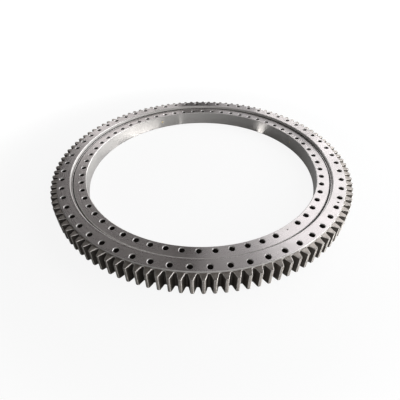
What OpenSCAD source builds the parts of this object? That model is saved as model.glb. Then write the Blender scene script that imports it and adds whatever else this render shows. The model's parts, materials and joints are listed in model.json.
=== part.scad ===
// Slewing ring bearing: a four-point-contact ball bearing with an external spur gear.
// The axis of rotation is Z. The origin is the centre of the inner ring's bottom face.
// Angles round the axis run from -Y, the front, towards +X.

/* [Rings] */
// Height over both rings
total_h = 86; // [84:1:90]
// Height of the inner ring
inner_h = 71; // [70:1:74]
// Height of the outer ring's bottom face above the inner ring's
outer_lift = 2; // [2:1:4]
// Diameter of the open bore
bore_d = 1082; // [1070:1:1086]
// Diameter of the shoulder above the teeth
shoulder_d = 1322; // [1310:1:1324]
// Chamfer on the turned edges of the rings
ring_chamfer = 2.5; // [1:0.5:3]

/* [Gear] */
// Module of the spur gear
gear_module = 12; // [12:0.5:14]
// Number of teeth
teeth = 113; // [113:1:125]
// Pressure angle in degrees
pressure_angle = 20; // [18:1:22]
// Width of the teeth along the axis
gear_w = 78; // [70:1:78]
// Angle from the front to the nearest tooth gap
gear_turn = 0; // [-1.5:0.1:1.5]

/* [Bolt circles] */
// Diameter of the outer ring's bolt circle
outer_pcd = 1280; // [1270:1:1282]
// Diameter of the inner ring's bolt circle
inner_pcd = 1122; // [1118:1:1126]
// Bolt positions on each circle
bolts = 60; // [48:12:60]
// Diameter of the through holes
bolt_hole_d = 22; // [18:1:24]
// Countersink at both ends of the through holes
bolt_hole_chamfer = 1.5; // [0.5:0.5:2]
// Angle from the front to the outer ring's first hole
outer_turn = 3.6; // [0:0.1:6]
// Diameter of the blind hole that marks the outer raceway's soft zone
mark_hole_d = 10; // [6:1:12]

/* [Balls and cage] */
// Diameter of the ball pitch circle
raceway_d = 1196; // [1194:1:1198]
// Diameter of the balls
ball_d = 32; // [28:1:32]
// Number of cage segments
segments = 16; // [12:1:16]
// Balls in each segment
segment_balls = 6; // [4:1:6]
// Gap between the rings beside the balls
land_gap = 5; // [4:0.5:6]

/* [Seals] */
// Height of each seal's groove
seal_h = 5; // [4:0.5:5]
// Depth of each seal's groove, and width of the ledge beside it
seal_step = 5; // [4:0.5:5.5]

/* [Plug and grease] */
// Bolt position that the loading plug takes
plug_position = 6; // [6:1:9]
// Diameter of the loading plug
plug_d = 36; // [34:1:38]
// Diameter of the taper pin that locks the plug
pin_d = 6; // [4:1:8]
// Number of grease nipples round the bore
nipples = 4; // [2:2:4]
// Gap between two bolts that holds the first grease nipple
nipple_position = 4; // [1:1:4]
// Thread diameter of the grease nipples
thread_d = 10; // [8:1:12]

/* [Hidden] */
function two_digits(i) = str(i < 10 ? "0" : "", i);

smooth_fn = 180;
small_fn = 48;
overlap = 1;

// Clearances
ball_play = 0.6;
seal_play = 0.8;
seat_play = 0.4;
plug_play = 0.15;

// Levels
top_z = total_h;
gear_top_z = outer_lift + gear_w;
ball_z = (inner_h + outer_lift) / 2;

// Radii of the turned faces
bore_r = bore_d / 2;
shoulder_r = shoulder_d / 2;
pitch_r = raceway_d / 2;
inner_land_r = pitch_r - land_gap / 2;
outer_land_r = pitch_r + land_gap / 2;
groove_floor_r = outer_land_r + seal_step;

// Gear tooth, with its depth below the pitch circle and its root fillet in modules
root_depth = 1.25;
root_fillet = 0.38;
gear_r = gear_module * teeth / 2;
tip_r = gear_r + gear_module;
root_r = gear_r - root_depth * gear_module;
base_r = gear_r * cos(pressure_angle);
fillet_r = root_fillet * gear_module;
tip_overrun = 2;
flank_steps = 4;
fillet_steps = 3;
tooth_pitch = 360 / teeth;

// Raceway: each ring has two arcs that meet the ball at 45 degrees
contact_offset = 1;
groove_r = ball_d / 2 + contact_offset + ball_play;
contact_shift = contact_offset * sqrt(0.5);

// Cage
ball_pitch = 360 / (segments * segment_balls);
segment_pitch = 360 / segments;
segment_gap = 0.25;
cage_rim = 3;
cage_t = land_gap - 2 * seal_play;
cage_h = ball_d + 2 * cage_rim;

// Joint between the rings, with heights above the ball circle
ledge_drop = 2;
groove_rim = 4;
edge_break = 1;
joint_h = (inner_h - outer_lift) / 2;
ledge_h = joint_h - ledge_drop;
groove_top_h = ledge_h - groove_rim;

// Seal
back_rise = 3.6;
lip_fall = 1.2;
lip_t = 2;
lip_round = 0.8;

// Plug, pin and grease ways
bolt_pitch = 360 / bolts;
plug_angle = plug_position * bolt_pitch;
pin_recess = 2;
pin_top_z = inner_h - pin_recess;
pin_l = 36;
pin_taper = 1 / 50;
mark_position = 9.5;
mark_hole_depth = 20;
thread_depth = 16;
grease_way_d = 6;
nipple_l = 12;
nipple_recess = 0.5;
funnel_d = 6;
funnel_depth = 3;
funnel_bore_d = 2;

// Turns its children from the front, at -Y, towards +X.
module at_angle(a) {
    rotate([0, 0, a - 90]) children();
}

// Places a shape modelled along +X from the axis, at a height.
module radial(a, z) {
    at_angle(a) translate([0, 0, z]) rotate([0, 90, 0]) children();
}

// Involute function of an angle in degrees, as an angle in degrees.
function involute(a) = tan(a) * 180 / PI - a;

// Pressure angle of the involute at a radius.
function angle_at(r) = acos(base_r / r);

// Half of a tooth's angle at a radius.
function half_tooth(r) = 90 / teeth + involute(pressure_angle) - involute(angle_at(r));

// Half of a gap's angle at a radius.
function half_gap(r) = tooth_pitch / 2 - half_tooth(r);

// Lean and place of the root fillet's arc, from the middle of the gap, and the radius where the flank starts.
fillet_lean = angle_at(root_r + fillet_r / 2);
flank_start_r = root_r + fillet_r * (1 - sin(fillet_lean));
fillet_x = flank_start_r * sin(half_gap(flank_start_r)) - fillet_r * cos(fillet_lean);
fillet_y = root_r + fillet_r;

// One side of a gap from its root to past the tip, with the gap's middle along +Y.
function gap_side() = concat(
    [for (i = [0:fillet_steps - 1])
        let (a = -90 + i * (90 - fillet_lean) / fillet_steps)
        [fillet_x + fillet_r * cos(a), fillet_y + fillet_r * sin(a)]],
    [for (i = [0:flank_steps])
        let (r = flank_start_r + i * (tip_r + tip_overrun - flank_start_r) / flank_steps)
        [r * sin(half_gap(r)), r * cos(half_gap(r))]]
);

function turned(p, a) = [p.x * cos(a) - p.y * sin(a), p.x * sin(a) + p.y * cos(a)];

// The whole toothed outline: for each gap its left side inwards, then its right side outwards.
function gear_outline() = let (side = gap_side(), last = len(side) - 1) [
    for (k = [0:teeth - 1], i = [0:2 * last + 1])
        let (p = i <= last ? [-side[last - i].x, side[last - i].y] : side[i - last - 1])
        turned(p, -k * tooth_pitch)
];

// The ball groove of the outer ring (side 1) or of the inner ring (side -1), as two crossed arcs.
module groove_section(side) {
    translate([pitch_r, ball_z]) intersection() {
        translate([-side * contact_shift, contact_shift]) circle(r = groove_r, $fn = small_fn);
        translate([-side * contact_shift, -contact_shift]) circle(r = groove_r, $fn = small_fn);
    }
}

// The outer ring's side of the joint (side 1) from a height above the ball circle down to its bottom face.
// The inner ring's side (side -1) is the same turned over about the ball circle.
function joint_side(side, reach) = let (
    c = ring_chamfer, e = edge_break, land = land_gap / 2, wall = land + seal_step
) [for (p = [
    [wall + c, reach], [wall, reach - c], [wall, ledge_h], [land + e, ledge_h], [land, ledge_h - e],
    [land, groove_top_h], [wall, groove_top_h],
    [wall, groove_top_h - seal_h], [land, groove_top_h - seal_h],
    [land, c - joint_h], [land + c, -joint_h]
]) [pitch_r + side * p.x, ball_z + side * p.y]];

// Turned section of the outer ring, with the blank that the teeth are cut from.
module outer_section() {
    c = ring_chamfer;
    difference() {
        polygon(concat(joint_side(1, top_z - ball_z), [
            [tip_r - c, outer_lift], [tip_r, outer_lift + c],
            [tip_r, gear_top_z - c], [tip_r - c, gear_top_z],
            [shoulder_r, gear_top_z], [shoulder_r, top_z - c], [shoulder_r - c, top_z]
        ]));
        groove_section(1);
    }
}

// Turned section of the inner ring.
module inner_section() {
    c = ring_chamfer;
    difference() {
        polygon(concat(joint_side(-1, ball_z), [
            [bore_r + c, inner_h], [bore_r, inner_h - c], [bore_r, c], [bore_r + c, 0]
        ]));
        groove_section(-1);
    }
}

// Cutter for one through hole with a countersink at both faces.
module bolt_hole(z0, z1) {
    r = bolt_hole_d / 2;
    c = bolt_hole_chamfer;
    rotate_extrude($fn = small_fn) polygon([
        [0, z0 - overlap], [r + c + overlap, z0 - overlap], [r, z0 + c],
        [r, z1 - c], [r + c + overlap, z1 + overlap], [0, z1 + overlap]
    ]);
}

module outer_gear_ring() {
    color("silver") difference() {
        intersection() {
            translate([0, 0, outer_lift - overlap])
                linear_extrude(total_h - outer_lift + 2 * overlap)
                    rotate(gear_turn + 180) polygon(gear_outline());
            rotate_extrude($fn = smooth_fn) outer_section();
        }
        for (k = [0:bolts - 1])
            at_angle(outer_turn + k * bolt_pitch)
                translate([outer_pcd / 2, 0, 0]) bolt_hole(outer_lift, top_z);
        at_angle(outer_turn + mark_position * bolt_pitch)
            translate([outer_pcd / 2, 0, top_z - mark_hole_depth])
                cylinder(d = mark_hole_d, h = mark_hole_depth + overlap, $fn = small_fn);
    }
}

module inner_ring() {
    color("silver") difference() {
        rotate_extrude($fn = smooth_fn) inner_section();
        for (k = [0:bolts - 1])
            if (k != plug_position)
                at_angle(k * bolt_pitch)
                    translate([inner_pcd / 2, 0, 0]) bolt_hole(0, inner_h);
        radial(plug_angle, ball_z)
            translate([0, 0, bore_r - overlap])
                cylinder(d = plug_d + 2 * plug_play, h = pitch_r - bore_r, $fn = small_fn);
        pin_hole();
        for (k = [1:nipples]) grease_way(nipple_angle(k));
    }
}

// Hole for the taper pin, open at the top face.
module pin_hole() {
    at_angle(plug_angle) translate([inner_pcd / 2, 0, 0]) {
        translate([0, 0, pin_top_z - pin_l])
            pin_body(pin_d / 2 + plug_play);
        translate([0, 0, pin_top_z - overlap])
            cylinder(r = pin_d / 2 + plug_play, h = inner_h - pin_top_z + 2 * overlap, $fn = small_fn);
    }
}

// Taper pin standing on its small end.
module pin_body(r) {
    cylinder(r1 = r - pin_l * pin_taper / 2, r2 = r, h = pin_l, $fn = small_fn);
}

function nipple_angle(k) = (nipple_position + 0.5) * bolt_pitch + (k - 1) * 360 / nipples;

// Threaded hole and drilled way from the bore to the raceway.
module grease_way(a) {
    radial(a, ball_z) translate([0, 0, bore_r - overlap]) {
        cylinder(d = thread_d, h = thread_depth + overlap, $fn = small_fn);
        cylinder(d = grease_way_d, h = pitch_r - ball_d / 2 - bore_r + overlap, $fn = small_fn);
    }
}

// Section of the upper seal: a foot in the outer ring's groove, a back that stands beside the groove's rim,
// and a lip that falls from the back to the inner ring.
module seal_section() {
    foot_r = groove_floor_r - seat_play;
    foot_top_z = ball_z + groove_top_h - seat_play;
    foot_z = ball_z + groove_top_h - seal_h + seat_play;
    back_r = outer_land_r - seat_play;
    back_z = foot_top_z + back_rise;
    lip_r = inner_land_r + seal_play;
    lip_z = back_z - lip_fall;
    polygon([
        [foot_r, foot_z], [foot_r, foot_top_z], [back_r, foot_top_z], [back_r, back_z],
        [lip_r + lip_round, lip_z], [lip_r, lip_z - lip_round], [lip_r, lip_z - lip_t],
        [outer_land_r, foot_z]
    ]);
}

module upper_seal() {
    color("#1c1c1c") rotate_extrude($fn = smooth_fn) seal_section();
}

// The lower seal is the upper one turned over about the ball circle, so its foot sits on the inner ring.
module lower_seal() {
    color("#1c1c1c") rotate_extrude($fn = smooth_fn)
        translate([2 * pitch_r, 2 * ball_z]) rotate(180) seal_section();
}

module loading_plug() {
    color("gray") difference() {
        intersection() {
            radial(plug_angle, ball_z)
                translate([0, 0, bore_r - overlap])
                    cylinder(d = plug_d, h = pitch_r - bore_r, $fn = small_fn);
            rotate_extrude($fn = smooth_fn) inner_section();
        }
        pin_hole();
    }
}

module plug_taper_pin() {
    color("dimgray") at_angle(plug_angle)
        translate([inner_pcd / 2, 0, pin_top_z - pin_l]) pin_body(pin_d / 2);
}

// Grease nipple, flush with the bore: a threaded plug with a funnel for the gun and a bore.
module grease_nipple(k) {
    body_r = thread_d / 2 - plug_play;
    color("goldenrod") radial(nipple_angle(k), ball_z) translate([0, 0, bore_r + nipple_recess])
        rotate_extrude($fn = small_fn) polygon([
            [funnel_d / 2, 0], [body_r, 0], [body_r, nipple_l],
            [funnel_bore_d / 2, nipple_l], [funnel_bore_d / 2, funnel_depth]
        ]);
}

function ball_angle(i, j) = (i - 1) * segment_pitch + (j - 0.5) * ball_pitch;

module cage_segment(i) {
    color("seagreen") difference() {
        at_angle((i - 1) * segment_pitch + segment_gap / 2)
            rotate_extrude(angle = segment_pitch - segment_gap, $fn = smooth_fn)
                translate([pitch_r - cage_t / 2, ball_z - cage_h / 2]) square([cage_t, cage_h]);
        for (j = [1:segment_balls])
            radial(ball_angle(i, j), ball_z)
                translate([0, 0, inner_land_r])
                    cylinder(r = ball_d / 2 + ball_play, h = land_gap, $fn = small_fn);
    }
}

module balls(i) {
    color("lightgray") for (j = [1:segment_balls])
        at_angle(ball_angle(i, j)) translate([pitch_r, 0, ball_z]) sphere(d = ball_d, $fn = small_fn);
}

outer_gear_ring();
inner_ring();
upper_seal();
lower_seal();
loading_plug();
plug_taper_pin();
for (k = [1:nipples])
    grease_nipple(k);
for (i = [1:segments])
    cage_segment(i);
for (i = [1:segments])
    balls(i);
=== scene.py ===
import json
import math

import bmesh
import bpy
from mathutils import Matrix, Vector


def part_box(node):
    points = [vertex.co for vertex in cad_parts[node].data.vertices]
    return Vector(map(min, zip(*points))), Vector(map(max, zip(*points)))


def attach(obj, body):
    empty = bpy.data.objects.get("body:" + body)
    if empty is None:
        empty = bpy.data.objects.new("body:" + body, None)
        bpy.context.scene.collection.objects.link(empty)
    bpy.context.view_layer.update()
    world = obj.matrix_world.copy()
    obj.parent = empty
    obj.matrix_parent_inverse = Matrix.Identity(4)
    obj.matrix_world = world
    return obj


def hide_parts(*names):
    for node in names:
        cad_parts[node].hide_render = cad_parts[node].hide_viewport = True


# Slewing ring bearing: finishes, broken tooth edges, smooth raceways, light and camera
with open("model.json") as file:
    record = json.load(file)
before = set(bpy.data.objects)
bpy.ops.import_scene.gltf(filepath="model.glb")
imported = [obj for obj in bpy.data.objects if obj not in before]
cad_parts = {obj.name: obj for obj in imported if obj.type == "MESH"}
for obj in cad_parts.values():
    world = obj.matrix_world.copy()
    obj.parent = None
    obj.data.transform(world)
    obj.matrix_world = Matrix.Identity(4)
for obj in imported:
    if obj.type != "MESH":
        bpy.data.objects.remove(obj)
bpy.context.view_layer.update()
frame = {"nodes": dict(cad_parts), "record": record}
scene = bpy.context.scene
scene.view_settings.view_transform = "Standard"

# Places on the rings that the finishes follow, in metres, worked out from the frame
MM = 0.001
sizes = {mount["name"]: mount["dims"] for mount in frame["record"]["mounts"]}
OUTER_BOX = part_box("outer_gear_ring")
INNER_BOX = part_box("inner_ring")
SEAL_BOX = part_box("upper_seal")
OUTER_BOLT_R = sizes["outer_bolts"]["pcd_mm"] * MM / 2
INNER_BOLT_R = sizes["inner_bolts"]["pcd_mm"] * MM / 2
HOLE_R = sizes["outer_bolts"]["hole_r_mm"] * MM
BORE_R = sizes["bore"]["r_mm"] * MM
TIP_R = OUTER_BOX[1].y
MODULE = TIP_R - sizes["gear_rim"]["r_mm"] * MM
TOOTH_HEIGHT = 2.25 * MODULE
ROOT_LEDGE = 2 * MM
SHOULDER_R = TIP_R - TOOTH_HEIGHT - ROOT_LEDGE
GEAR_TOP = OUTER_BOX[0].z + sizes["gear_rim"]["length_mm"] * MM

# Work on the copies of the rings: broken tooth edges, and room for the balls in their grooves
EDGE_BREAK = 1.8 * MM
SHARP_ANGLE = math.radians(35)
SMOOTH_ANGLE = math.radians(28)
FLAT_ANGLE = math.radians(0.3)
MERGE_DISTANCE = 0.005 * MM
BALL_PLAY = 0.6 * MM
GROOVE_DEPTH = 3.5 * MM

# Pitches of the tool marks and of the seal's ribs, how high the painted shade in the joint reaches,
# and how far the painted highlight at the hole mouths reaches
FINE_FEED = 1.1 * MM
COARSE_FEED = 8.5 * MM
SEAL_RIBS = 1.6 * MM
JOINT_SHADE_RISE = 4.0 * MM
MOUTH_FULL = 4 * MM
MOUTH_END = 6 * MM

# Share of a turned wall's shine that is matte, as its coarse tool marks scatter the light
WALL_MATTE = 0.64
WALL_SPREAD = 0.06

# Colours, in pairs where a noise blends one into the other
TURNED_STEEL = (0.445, 0.404, 0.396, 1.0), (0.525, 0.483, 0.472, 1.0)
MAUVE_TO_OLIVE = (0.42, 0.365, 0.375, 1.0), (0.385, 0.385, 0.335, 1.0)
# Painted shade inside the drill holes
PAINTED_HOLE_SHADE = (0.085, 0.075, 0.068, 1.0)
# Painted shade in the joint above the seal
JOINT_SHADE_COLOUR = (0.020, 0.017, 0.015, 1.0)
# Dark hardening tint of the tooth flanks, also painted shade between the teeth
FLANK_TINT_AND_SHADE = (0.070, 0.062, 0.054, 1.0), (0.200, 0.180, 0.158, 1.0)
TOOTH_TOP = (0.14, 0.121, 0.107, 1.0), (0.52, 0.47, 0.43, 1.0)
TOOTH_TIP = (0.27, 0.243, 0.22, 1.0), (0.70, 0.65, 0.60, 1.0)
GREEN_NYLON = (0.045, 0.13, 0.085, 1.0), (0.08, 0.21, 0.14, 1.0)
YELLOW_PLATE = (0.78, 0.63, 0.33, 1.0), (0.55, 0.46, 0.27, 1.0)

# Studio: the share of white that steel mirrors, the floor, and the sizes of lamps and cards
MIRRORED_WHITE = 0.05
ROOM_LEVEL = 0.04
FLOOR_R = 30.0
FLOOR_SHADOW = 0.20
LAMP_DISTANCE = 3.0
LOW_ANGLE = 9
LOW_LAMP = (1.55, 0.94)
FILL_LAMP = (2.4, 1.26)
CARD_DEPTH = 0.14
CARD_HEIGHT = 3 * MM
CARD_WARMTH = 0.02

# Camera, fitted to the photograph's bolt circles
LENS_MM = 27.732
SENSOR_MM = 36.0
CAMERA_AT = (0.02348, -1.25979, 0.90829)
CAMERA_TURN = (49.2367, 0.3639, 1.0965)


class Link:
    """A socket that takes part in Python expressions; each operator adds one Math node."""

    def __init__(self, finish, socket):
        self.finish = finish
        self.socket = socket

    def math(self, operation, *others, first=None):
        """A Math node on this socket and others, or on a first value and this socket."""
        values = [self, *others] if first is None else [first, self]
        return self.finish.node("ShaderNodeMath", {"operation": operation}, dict(enumerate(values)))

    def __add__(self, other):
        return self.math("ADD", other)

    def __radd__(self, other):
        return self.math("ADD", first=other)

    def __sub__(self, other):
        return self.math("SUBTRACT", other)

    def __rsub__(self, other):
        return self.math("SUBTRACT", first=other)

    def __mul__(self, other):
        return self.math("MULTIPLY", other)

    def __rmul__(self, other):
        return self.math("MULTIPLY", first=other)

    def __truediv__(self, other):
        return self.math("DIVIDE", other)

    def __pow__(self, other):
        return self.math("POWER", other)

    def __abs__(self):
        return self.math("ABSOLUTE")

    def max(self, other):
        return self.math("MAXIMUM", other)


class Finish:
    """A node material, or the world, while it is being made."""

    def __init__(self, name, tree=None):
        if tree is None:
            self.material = bpy.data.materials.new(name)
            self.material.use_nodes = True
            tree = self.material.node_tree
        self.tree = tree
        tree.nodes.clear()

    def node(self, kind, settings=None, sockets=None, out=0):
        """Adds a node with its settings and sockets; gives one output, or a list for a list."""
        made = self.tree.nodes.new(kind)
        for key, value in (settings or {}).items():
            setattr(made, key, value)
        for key, value in (sockets or {}).items():
            socket = made.inputs[key]
            if isinstance(value, Link):
                self.tree.links.new(value.socket, socket)
            else:
                socket.default_value = value
        if isinstance(out, list):
            return [Link(self, made.outputs[each]) for each in out]
        return Link(self, made.outputs[out]) if made.outputs else None

    def step(self, value, low, high):
        """0 at low, 1 at high, with a smooth rise between them. High may be the smaller."""
        return self.node(
            "ShaderNodeMapRange",
            {"interpolation_type": "SMOOTHSTEP"},
            {"Value": value, "From Min": low, "From Max": high},
        )

    def between(self, value, low, high, soft):
        """1 where value lies between low and high."""
        rise = self.step(value, low - soft, low + soft)
        return rise * self.step(value, high + soft, high - soft)

    def blend(self, share, colour_a, colour_b):
        """Colour a where share is 0, colour b where it is 1."""
        return self.node(
            "ShaderNodeMix",
            {"data_type": "RGBA", "clamp_factor": True},
            {"Factor": share, 6: colour_a, 7: colour_b},
            out=2,
        )

    def noise(self, vector, scale, detail=3.0, roughness=0.55):
        """Cloudy noise round 0.5."""
        return self.node(
            "ShaderNodeTexNoise",
            {"noise_dimensions": "3D"},
            {"Vector": vector, "Scale": scale, "Detail": detail, "Roughness": roughness},
        )

    def bump(self, height, strength, distance):
        """A normal that follows a fine height of the given depth in metres."""
        sockets = {"Strength": strength, "Distance": distance, "Height": height}
        return self.node("ShaderNodeBump", {}, sockets)

    def surface(self, shader_sockets):
        """Ends the material with a Principled shader."""
        shader = self.node("ShaderNodeBsdfPrincipled", {}, shader_sockets)
        self.node("ShaderNodeOutputMaterial", {}, {"Surface": shader})
        return self.material

    def white_rays(self):
        """1 for what the camera sees, and a share of it for what steel mirrors."""
        camera, glossy, through = self.node(
            "ShaderNodeLightPath", out=["Is Camera Ray", "Is Glossy Ray", "Is Transmission Ray"]
        )
        return camera + (glossy + through) * MIRRORED_WHITE


def grey(value, warmth=0.0):
    """An opaque grey, a little warmer or cooler than neutral."""
    return (value * (1 + warmth), value, value * (1 - warmth), 1.0)


class Turned(Finish):
    """A finish on a piece turned about the Z axis, with the coordinates that such a piece needs."""

    def __init__(self, name):
        super().__init__(name)
        self.place, normal = self.node("ShaderNodeTexCoord", out=["Object", "Normal"])
        self.x, self.y, self.z = self.node("ShaderNodeSeparateXYZ", {}, {0: self.place}, [0, 1, 2])
        nx, ny, nz = self.node("ShaderNodeSeparateXYZ", {}, {0: normal}, [0, 1, 2])
        self.r = (self.x * self.x + self.y * self.y) ** 0.5
        self.angle = self.y.math("ARCTAN2", self.x)
        # flat is 1 on level faces and 0 on upright walls, outward is 1 on walls that face away
        self.flat = abs(nz)
        self.wall = self.step(self.flat, 0.5, 0.25)
        self.chamfer = self.between(self.flat, 0.45, 0.93, soft=0.06)
        self.outward = (nx * self.x + ny * self.y) / self.r

    def tool_marks(self, pitch, drift):
        """Fine rings left by the turning tool: by radius on flat faces, by height on walls."""
        travel = self.r * self.flat + self.z * (1 - self.flat)
        along = self.node(
            "ShaderNodeCombineXYZ", {}, {"X": travel / pitch, "Y": self.angle * drift, "Z": 0.0}
        )
        return self.noise(along, scale=1.0, detail=3.0, roughness=0.6)


class RingSteel(Turned):
    """Bare turned steel of a ring with one circle of drilled holes."""

    def __init__(self, name, box, bolts_r, wall_tone):
        super().__init__(name)
        self.marks = self.tool_marks(FINE_FEED, drift=0.4)
        self.bands = self.tool_marks(COARSE_FEED, drift=0.15)
        self.cloud = self.noise(self.place, scale=4.5, detail=4.0)
        self.stain = self.noise(self.place, scale=15.0, detail=5.0, roughness=0.6)
        self.speck = self.noise(self.place, scale=420.0, detail=3.0, roughness=0.6)
        tone = (self.cloud - 0.5) * 0.22 + (self.bands - 0.5) * 0.16 + (self.marks - 0.5) * 0.10
        self.colour = self.blend(self.step(tone, -0.13, 0.13), *TURNED_STEEL)
        self.rough = 0.28 + (self.marks - 0.5) * 0.06 + (self.bands - 0.5) * 0.05
        self.rough = self.rough + (self.speck - 0.5) * 0.04 + self.wall * 0.20
        self.metal = 1.0
        self.oil_film()
        darker, lighter = grey(wall_tone - WALL_SPREAD, 0.03), grey(wall_tone + WALL_SPREAD, 0.03)
        self.paint(self.wall, self.blend(self.cloud, darker, lighter), matte=WALL_MATTE)
        # painted highlight on all chamfers
        self.painted_chamfer_highlight()
        self.drilled(bolts_r, box[0].z, box[1].z)

    def paint(self, share, colour, rough=0.0, matte=0.0):
        """Another colour, roughness and matte part of the shine, where share is 1."""
        self.colour = self.blend(share, self.colour, colour)
        self.rough = self.rough + share * rough
        self.metal = self.metal - share * matte

    def oil_film(self):
        """Thin oil that dries mauve in places and olive in others."""
        film = self.blend(self.cloud, *MAUVE_TO_OLIVE)
        self.paint(self.step(self.stain, 0.46, 0.74) * 0.4, film, rough=0.06)

    def painted_chamfer_highlight(self):
        """Turned chamfers, painted lighter than the faces that they part as a painted highlight."""
        self.paint(self.chamfer * 0.85, grey(0.88, 0.03), rough=0.02, matte=0.5)

    def drilled(self, bolts_r, bottom, top):
        """Drill walls painted dark as painted shade, and painted light at both mouths as a painted
        highlight.
        """
        reach = HOLE_R + 0.8 * MM
        hole = self.between(self.r, bolts_r - reach, bolts_r + reach, soft=0.3 * MM) * self.wall
        # painted shade down the drill walls
        self.paint(hole, PAINTED_HOLE_SHADE, matte=-WALL_MATTE)
        # painted highlight at both mouths of each hole
        mouth = self.step(self.z, top - MOUTH_END, top - MOUTH_FULL)
        mouth = mouth.max(self.step(self.z, bottom + MOUTH_END, bottom + MOUTH_FULL))
        self.paint(hole * mouth, grey(0.72, 0.03), rough=-0.05, matte=0.3)

    def done(self):
        """Ends the material, with the drawn-out shine of turned steel."""
        return self.surface({
            "Base Color": self.colour,
            "Metallic": self.metal,
            "Roughness": self.rough.max(0.12),
            "Anisotropic": 0.95,
            "Anisotropic Rotation": 0.25,
            "Normal": self.bump(self.bands * 0.6 + self.cloud * 0.4, 0.15, 0.4 * MM),
        })


class GearSteel(RingSteel):
    """Ring steel with hobbed and hardened teeth: dark flanks, part hardening tint and part painted
    shade, and edges painted light with a painted highlight.
    """

    def tint_and_shade_teeth(self):
        """Dark flanks with the hob's feed marks, part tint and part painted shade; greyer tops,
        lighter tips, and light edges of wear that carry a painted highlight.
        """
        grime = self.noise(self.place, scale=90.0, detail=4.0, roughness=0.65)
        feed = self.node(
            "ShaderNodeTexWave",
            {"wave_type": "BANDS", "bands_direction": "Z", "wave_profile": "SIN"},
            {
                "Vector": self.place, "Scale": 55.0, "Distortion": 1.4,
                "Detail": 2.0, "Detail Scale": 3.0,
            },
        )
        teeth = self.step(self.r, SHOULDER_R + 0.2 * MM, SHOULDER_R + 0.5 * MM)
        teeth = teeth * self.step(self.z, GEAR_TOP + 0.8 * MM, GEAR_TOP + 0.4 * MM)
        # dark hardening tint on flanks and gap floors, also painted shade between the teeth
        self.paint(teeth, self.blend(grime, *FLANK_TINT_AND_SHADE), rough=0.02)
        self.rough = self.rough + teeth * self.wall * feed * 0.08

        top = teeth * self.step(self.flat, 0.95, 0.985)
        self.paint(top, self.blend(grime, *TOOTH_TOP), rough=0.04)

        tip = self.step(self.r, TIP_R - 0.6 * MM, TIP_R - 0.3 * MM)
        tip = tip * self.step(self.outward, 0.97, 0.99)
        self.paint(tip, self.blend(grime, *TOOTH_TIP), rough=-0.10, matte=0.7)

        corner = self.step(self.r, TIP_R - 2.0 * EDGE_BREAK, TIP_R - 1.6 * EDGE_BREAK) * self.wall
        corner = corner * self.between(self.outward, 0.64, 0.96, soft=0.02)
        # edges of wear, painted light as bare steel and as a painted highlight
        worn_and_glint = (corner + teeth * self.chamfer) * (0.65 + self.step(grime, 0.35, 0.6) * 0.35)
        self.paint(worn_and_glint, grey(0.84, 0.05), rough=-0.10, matte=0.7)
        return self

    def painted_joint_shade(self):
        """A dark band low on the inner wall, just above the seal: painted shade in the joint."""
        top = SEAL_BOX[1].z + JOINT_SHADE_RISE
        line = self.between(self.z, SEAL_BOX[0].z, top, soft=1.2 * MM) * self.wall
        line = line * self.step(self.r, OUTER_BOLT_R - HOLE_R, OUTER_BOLT_R - 2 * HOLE_R)
        # painted shade: a dark band in the joint above the seal
        self.paint(line * 0.95, JOINT_SHADE_COLOUR, rough=0.05, matte=0.3)
        return self


def seal_rubber():
    """Matte black nitrile with the fine ribs of its moulding and a little dust."""
    f = Turned("seal_rubber")
    ribs = f.tool_marks(SEAL_RIBS, drift=2.0)
    dust = f.noise(f.place, scale=60.0, detail=5.0, roughness=0.65)
    grain = f.noise(f.place, scale=900.0, detail=2.0, roughness=0.5)
    return f.surface({
        "Base Color": f.blend(f.step(dust, 0.45, 0.75) * 0.6, grey(0.024), grey(0.09, 0.05)),
        "Roughness": 0.62 + (dust - 0.5) * 0.25 + (grain - 0.5) * 0.08,
        "Specular IOR Level": 0.1,
        "Normal": f.bump(ribs * 0.7 + grain * 0.3, 0.3, 0.4 * MM),
    })


def small_metal(name, light, shade, rough):
    """Metal of a small turned or ground piece."""
    f = Turned(name)
    cloud = f.noise(f.place, scale=180.0, detail=4.0, roughness=0.6)
    scratch = f.noise(f.place, scale=1400.0, detail=3.0, roughness=0.6)
    return f.surface({
        "Base Color": f.blend(cloud, shade, light),
        "Metallic": 1.0,
        "Roughness": rough + (cloud - 0.5) * 0.15 + (scratch - 0.5) * 0.12,
        "Normal": f.bump(scratch, 0.2, 0.2 * MM),
    })


def cage_nylon():
    """Moulded green nylon with a greasy film."""
    f = Turned("cage_plastic")
    cloud = f.noise(f.place, scale=40.0, detail=4.0, roughness=0.6)
    grain = f.noise(f.place, scale=700.0, detail=3.0, roughness=0.6)
    return f.surface({
        "Base Color": f.blend(cloud, *GREEN_NYLON),
        "Roughness": 0.38 + (cloud - 0.5) * 0.2,
        "Normal": f.bump(grain, 0.2, 0.3 * MM),
    })


def give(material, *pieces):
    """Makes a material the only one on each piece."""
    for piece in pieces:
        slots = piece.data.materials
        slots.clear()
        slots.append(material)


def nodes_named(start):
    """All CAD nodes whose names begin alike."""
    return [node for name, node in frame["nodes"].items() if name.startswith(start)]


def tooth_edges(mesh):
    """The sharp outer edges of the teeth: along both end faces and up the tip corners."""
    for edge in mesh.edges:
        outside = all(math.hypot(v.co.x, v.co.y) > SHOULDER_R + 0.5 * MM for v in edge.verts)
        if outside and len(edge.link_faces) == 2 and edge.calc_face_angle_signed() > SHARP_ANGLE:
            yield edge


def ball_track():
    """Radius and height of the circle that the balls' centres follow, and a ball's radius."""
    points = [vertex.co for vertex in frame["nodes"]["balls_01"].data.vertices]
    heights = [point.z for point in points]
    reach = [math.hypot(point.x, point.y) for point in points]
    near, far = min(reach), max(reach)
    return (far + near) / 2, (max(heights) + min(heights)) / 2, (far - near) / 2


def from_track(point, track_r, track_z):
    """Way from the nearest ball centre on the track out to a point."""
    flat = Vector((point.x, point.y, 0.0))
    return point - flat.normalized() * track_r - Vector((0.0, 0.0, track_z))


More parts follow.
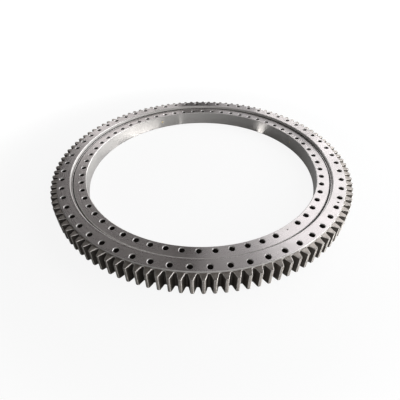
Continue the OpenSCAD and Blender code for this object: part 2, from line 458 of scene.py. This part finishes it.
def smooth_raceway(mesh):
    """Cuts the raceway's faces finer and sets each point that is too near to a ball back."""
    track_r, track_z, ball_r = ball_track()
    groove_r = ball_r + GROOVE_DEPTH
    clear_r = ball_r + BALL_PLAY
    bpy.ops.mesh.select_mode(type="FACE")
    bpy.ops.mesh.select_all(action="DESELECT")
    edited = bmesh.from_edit_mesh(mesh)
    for face in edited.faces:
        ways = [from_track(v.co, track_r, track_z) for v in face.verts]
        face.select_set(all(way.length < groove_r for way in ways))
    bmesh.update_edit_mesh(mesh)
    bpy.ops.mesh.subdivide(number_cuts=1)
    edited = bmesh.from_edit_mesh(mesh)
    for vertex in edited.verts:
        way = from_track(vertex.co, track_r, track_z)
        if way.length < clear_r:
            vertex.co += way.normalized() * (clear_r - way.length)
    bmesh.update_edit_mesh(mesh)


def merged_copy(node, name, body):
    """A copy of a ring that stands for it, merged, with a smooth raceway, and left in edit mode."""
    bpy.ops.object.select_all(action="DESELECT")
    mesh = frame["nodes"][node].data.copy()
    ring = bpy.data.objects.new(name, mesh)
    scene.collection.objects.link(ring)
    bpy.context.view_layer.objects.active = ring
    ring.select_set(True)
    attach(ring, body)
    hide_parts(node)
    bpy.ops.mesh.customdata_custom_splitnormals_clear()
    bpy.ops.object.mode_set(mode="EDIT")
    bpy.ops.mesh.select_mode(type="EDGE")
    bpy.ops.mesh.select_all(action="SELECT")
    bpy.ops.mesh.remove_doubles(threshold=MERGE_DISTANCE)
    bpy.ops.mesh.select_all(action="SELECT")
    bpy.ops.mesh.dissolve_limited(angle_limit=FLAT_ANGLE)
    smooth_raceway(mesh)
    return ring


def shaded(ring):
    """Leaves edit mode, and shades the curved faces as smooth and the edges as sharp."""
    bpy.ops.object.mode_set(mode="OBJECT")
    bpy.ops.object.shade_smooth_by_angle(angle=SMOOTH_ANGLE)
    return ring


def deburred_gear():
    """The gear ring with its tooth edges broken, as a deburring wheel leaves them."""
    gear = merged_copy("outer_gear_ring", "deburred_gear_ring", "turning_ring")
    bpy.ops.mesh.select_mode(type="EDGE")
    bpy.ops.mesh.select_all(action="DESELECT")
    edited = bmesh.from_edit_mesh(gear.data)
    for edge in tooth_edges(edited):
        edge.select_set(True)
    bmesh.update_edit_mesh(gear.data)
    bpy.ops.mesh.bevel(offset=EDGE_BREAK, offset_type="OFFSET", segments=1, affect="EDGES")
    return shaded(gear)


def ground_inner_ring():
    """The inner ring with its raceway ground smooth."""
    return shaded(merged_copy("inner_ring", "ground_inner_ring", "fixed_ring"))


def plain_floor():
    """A pale floor, which the camera sees white but for the ring's shadow."""
    bpy.ops.object.select_all(action="DESELECT")
    bpy.ops.mesh.primitive_circle_add(
        vertices=96, radius=FLOOR_R, fill_type="NGON", location=(0, 0, 0)
    )
    floor = bpy.context.object
    floor.name = "floor"
    f = Turned("floor_paint")
    paint = f.node("ShaderNodeBsdfDiffuse", {}, {"Color": grey(0.50)})
    white = f.node("ShaderNodeEmission", {}, {"Color": grey(1.0), "Strength": 1.12})
    far = f.step(f.r, 1.3 * TIP_R, 2.6 * TIP_R)
    share = f.white_rays() * (1 - FLOOR_SHADOW + far * FLOOR_SHADOW)
    mixed = f.node("ShaderNodeMixShader", {}, {0: share, 1: paint, 2: white})
    f.node("ShaderNodeOutputMaterial", {}, {"Surface": mixed})
    floor.data.materials.append(f.material)


def studio_room():
    """The world: a dim warm grey for light, and white where the camera sees it."""
    world = bpy.data.worlds.new("room")
    world.use_nodes = True
    scene.world = world
    f = Finish("room", world.node_tree)
    light = f.node("ShaderNodeBackground", {}, {"Color": grey(1.0, 0.02), "Strength": ROOM_LEVEL})
    white = f.node("ShaderNodeBackground", {}, {"Color": grey(1.0), "Strength": 1.0})
    mixed = f.node("ShaderNodeMixShader", {}, {0: f.white_rays(), 1: light, 2: white})
    f.node("ShaderNodeOutputWorld", {}, {"Surface": mixed})


def area_lamp(name, size, radiance, warmth, lights):
    """A rectangular lamp, for matte surfaces, for what metal mirrors, or for both."""
    lamp = bpy.data.lights.new(name, "AREA")
    lamp.shape = "RECTANGLE"
    lamp.size, lamp.size_y = size
    lamp.energy = math.pi * size[0] * size[1] * radiance
    lamp.color = grey(1.0, warmth)[:3]
    holder = bpy.data.objects.new(name, lamp)
    scene.collection.objects.link(holder)
    holder.visible_camera = False
    holder.visible_diffuse = "matte" in lights
    holder.visible_glossy = "metal" in lights
    return holder


def softbox(name, azimuth, elevation, size, radiance, warmth=0.0, lights=("matte", "metal")):
    """A lamp that faces the ring; azimuth runs from the back (+Y) towards the right (+X)."""
    a, e = math.radians(azimuth), math.radians(elevation)
    towards = Vector((math.sin(a) * math.cos(e), math.cos(a) * math.cos(e), math.sin(e)))
    holder = area_lamp(name, size, radiance, warmth, lights)
    holder.location = towards * LAMP_DISTANCE
    holder.rotation_mode = "QUATERNION"
    holder.rotation_quaternion = (-towards).to_track_quat("-Z", "Y")


def floor_card(name, angle, turn, width, radiance):
    """A bright card on the floor at the bore wall; angle from the front (-Y) to the right."""
    foot, way = math.radians(angle), math.radians(angle + turn)
    holder = area_lamp(name, (width, CARD_DEPTH), radiance, CARD_WARMTH, ["metal"])
    holder.location = (
        BORE_R * math.sin(foot) - CARD_DEPTH / 2 * math.sin(way),
        CARD_DEPTH / 2 * math.cos(way) - BORE_R * math.cos(foot),
        CARD_HEIGHT,
    )
    holder.rotation_euler = (math.pi, 0.0, way)


def photo_camera():
    """The camera, in front of the ring and above it, as the fit to the photograph gave it."""
    data = bpy.data.cameras.new("camera")
    data.lens = LENS_MM
    data.sensor_width = SENSOR_MM
    data.clip_end = 100.0
    camera = bpy.data.objects.new("camera", data)
    scene.collection.objects.link(camera)
    camera.location = CAMERA_AT
    camera.rotation_euler = [math.radians(turn) for turn in CAMERA_TURN]
    scene.camera = camera


# Finishes
gear_steel = GearSteel("gear_ring_steel", OUTER_BOX, OUTER_BOLT_R, wall_tone=0.62)
gear_steel = gear_steel.tint_and_shade_teeth().painted_joint_shade().done()
give(gear_steel, deburred_gear(), *nodes_named("outer_gear_ring"))
inner_steel = RingSteel("inner_ring_steel", INNER_BOX, INNER_BOLT_R, wall_tone=0.48).done()
give(inner_steel, ground_inner_ring(), *nodes_named("inner_ring"))
give(seal_rubber(), *nodes_named("upper_seal"), *nodes_named("lower_seal"))
plug_steel = small_metal("plug_steel", grey(0.48, 0.02), grey(0.38, 0.03), rough=0.3)
give(plug_steel, *nodes_named("loading_plug"))
pin_steel = small_metal("pin_steel", grey(0.22, 0.03), grey(0.12, 0.04), rough=0.35)
give(pin_steel, *nodes_named("plug_taper_pin"))
give(small_metal("nipple_steel", *YELLOW_PLATE, rough=0.28), *nodes_named("grease_nipple"))
give(cage_nylon(), *nodes_named("cage_segment"))
give(small_metal("ball_steel", grey(0.75), grey(0.68), rough=0.1), *nodes_named("balls"))

# Light: low lamps for matte or metal, windows and fills for both, and cards that only metal mirrors
plain_floor()
studio_room()
softbox("low_back_right", 30, LOW_ANGLE, LOW_LAMP, 4.5, 0.0, ["metal"])
softbox("low_right", 60, LOW_ANGLE, LOW_LAMP, 3.1, 0.01, ["matte"])
softbox("low_side", 90, LOW_ANGLE, LOW_LAMP, 6.2, 0.01, ["matte"])
softbox("low_right_front", 120, LOW_ANGLE, LOW_LAMP, 12.5, 0.01, ["matte"])
softbox("low_front", 153, LOW_ANGLE, LOW_LAMP, 1.2, 0.0, ["matte"])
softbox("side_right", 90, 31, (2.4, 1.3), 2.6, -0.02)
softbox("window_right", 45, 38, (1.4, 2.1), 2.1, -0.03)
softbox("window_back", 16, 39, (1.25, 2.1), 1.15, -0.03)
softbox("window_back_left", -20, 27, (1.3, 0.94), 2.0, -0.01)
softbox("fill_left", -110, 48, FILL_LAMP, 0.28)
softbox("fill_front", 180, 48, FILL_LAMP, 0.4)
softbox("ceiling", 0, 88, (2.36, 2.36), 0.15)
floor_card("card_far", 195, 16, 0.012, 3.0)
floor_card("card_back_left", 213, 30, 0.05, 3.9)
floor_card("card_left", 228, 33, 0.17, 6.4)
floor_card("card_front_left", 247, 33, 0.10, 2.0)
floor_card("card_right", 140, -30, 0.032, 9.5)
photo_camera()
